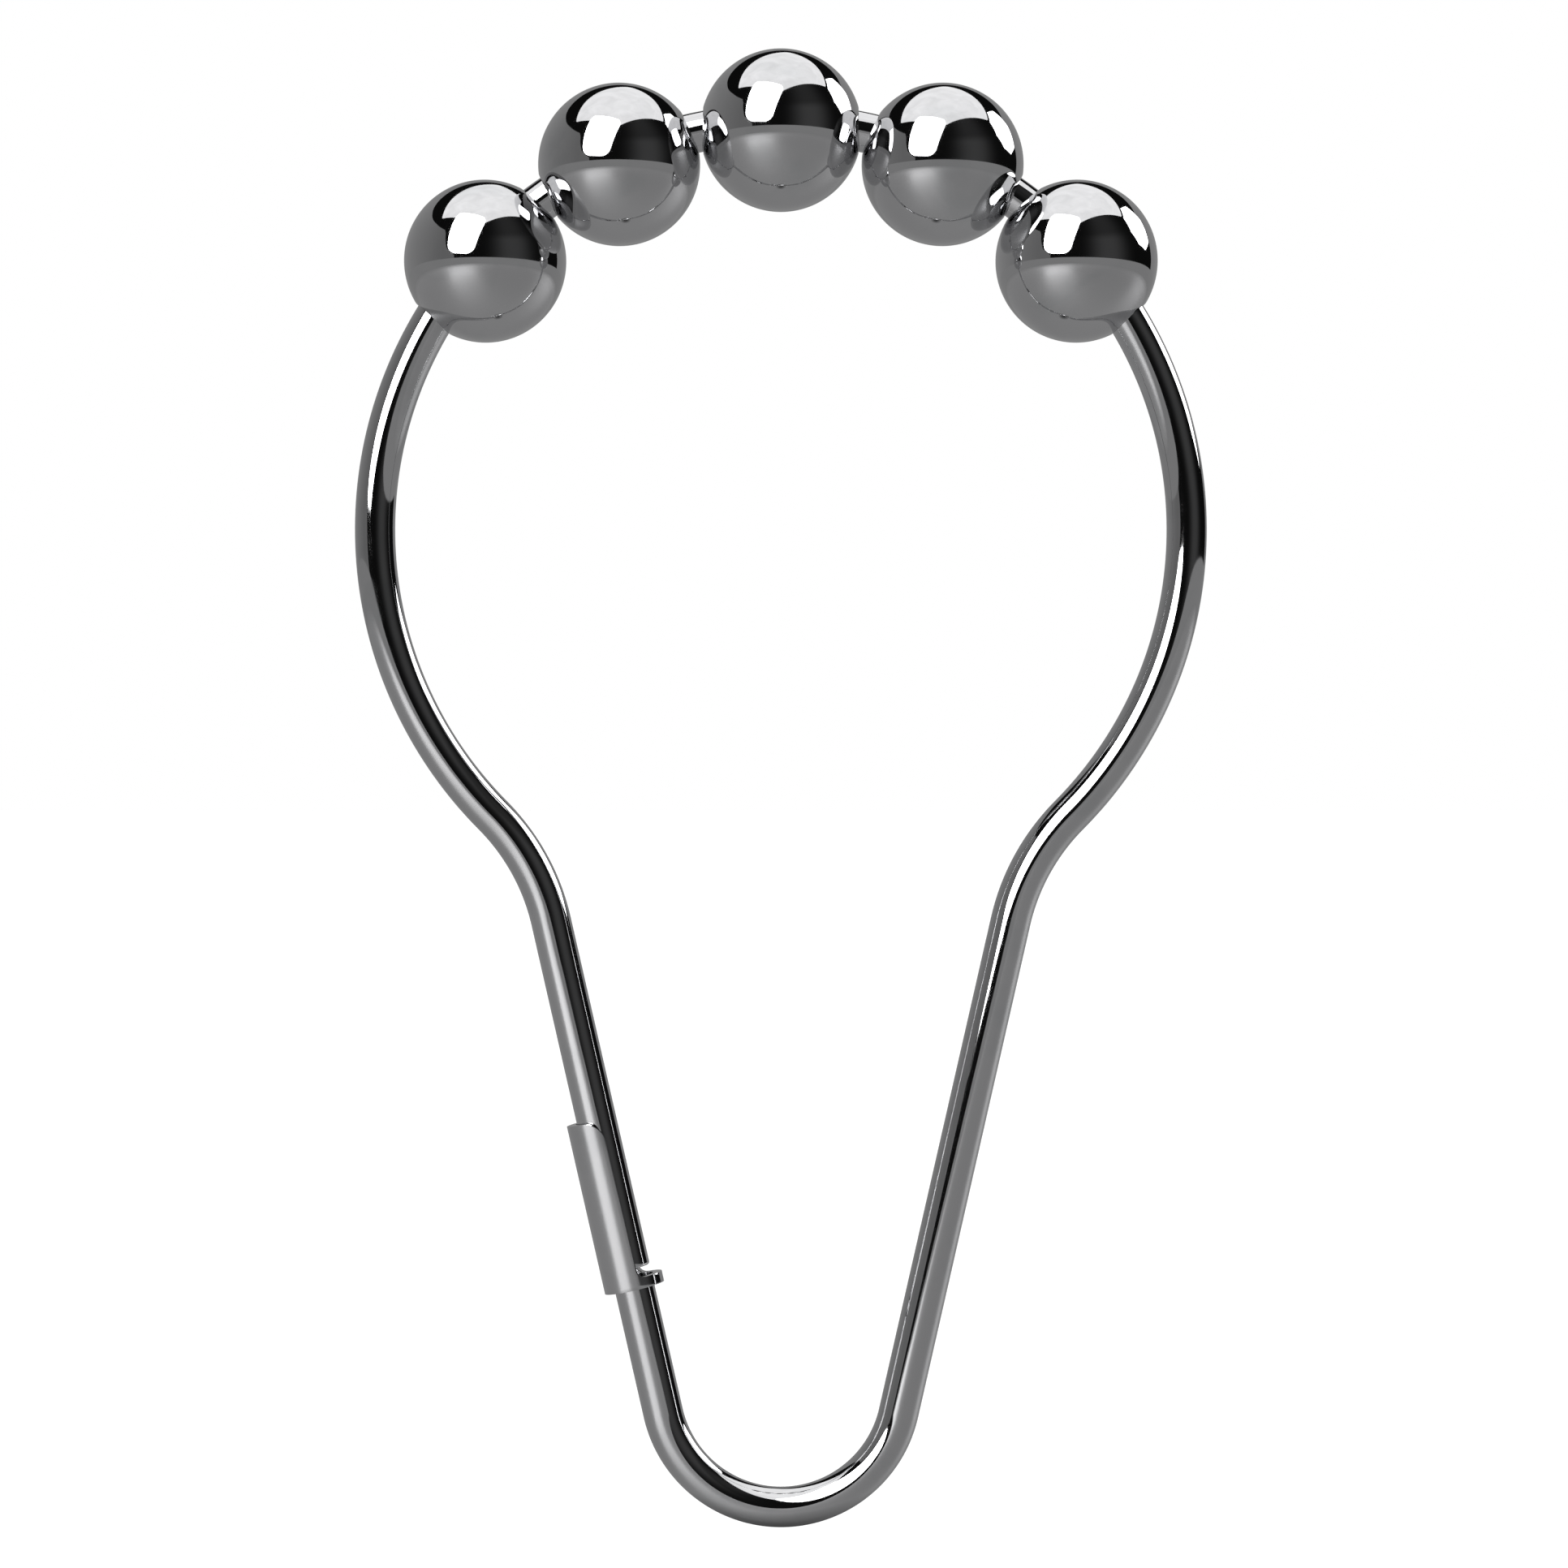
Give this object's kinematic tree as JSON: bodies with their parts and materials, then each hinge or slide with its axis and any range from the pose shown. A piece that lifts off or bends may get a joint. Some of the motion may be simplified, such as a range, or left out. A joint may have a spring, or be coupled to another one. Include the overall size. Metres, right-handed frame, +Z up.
{
  "type": "shower curtain hook",
  "caption": "Pear-shaped chrome wire ring with roller balls along its round top and an open trough catch on one leg, which hangs a shower curtain from a rod.",
  "frame": {"origin": "the underside of the middle roller ball, where the curtain rod carries the hook", "axes": "+Z up along the hook's length, +X to the right across its width in the plane of the wire, +Y along the curtain rod"},
  "size_m": [0.0466, 0.0088, 0.0808],
  "materials": {
    "wire_chrome": "bright chrome plating on drawn steel wire",
    "sleeve_chrome": "bright chrome plating on thin pressed sheet",
    "ball_chrome": "mirror chrome plating on pressed steel shells"
  },
  "bodies": {
    "frame": {"wire_frame": "wire_chrome", "clasp_sleeve": "sleeve_chrome"},
    "roller_1": {"ball_1": "ball_chrome"},
    "roller_2": {"ball_2": "ball_chrome"},
    "roller_3": {"ball_3": "ball_chrome"},
    "roller_4": {"ball_4": "ball_chrome"},
    "roller_5": {"ball_5": "ball_chrome"}
  },
  "joints": [
    {"name": "roll_1", "type": "hinge", "parent": "frame", "child": "roller_1", "pos_m": [-0.01617, 0, -0.00273], "axis": [0.6719, 0, 0.7407], "continuous": true},
    {"name": "roll_2", "type": "hinge", "parent": "frame", "child": "roller_2", "pos_m": [-0.00884, 0, 0.00256], "axis": [0.9143, 0, 0.405], "continuous": true},
    {"name": "roll_3", "type": "hinge", "parent": "frame", "child": "roller_3", "pos_m": [0, 0, 0.00443], "axis": [1, 0, 0], "continuous": true},
    {"name": "roll_4", "type": "hinge", "parent": "frame", "child": "roller_4", "pos_m": [0.00884, 0, 0.00256], "axis": [0.9143, 0, -0.405], "continuous": true},
    {"name": "roll_5", "type": "hinge", "parent": "frame", "child": "roller_5", "pos_m": [0.01617, 0, -0.00273], "axis": [0.6719, 0, -0.7407], "continuous": true}
  ]
}
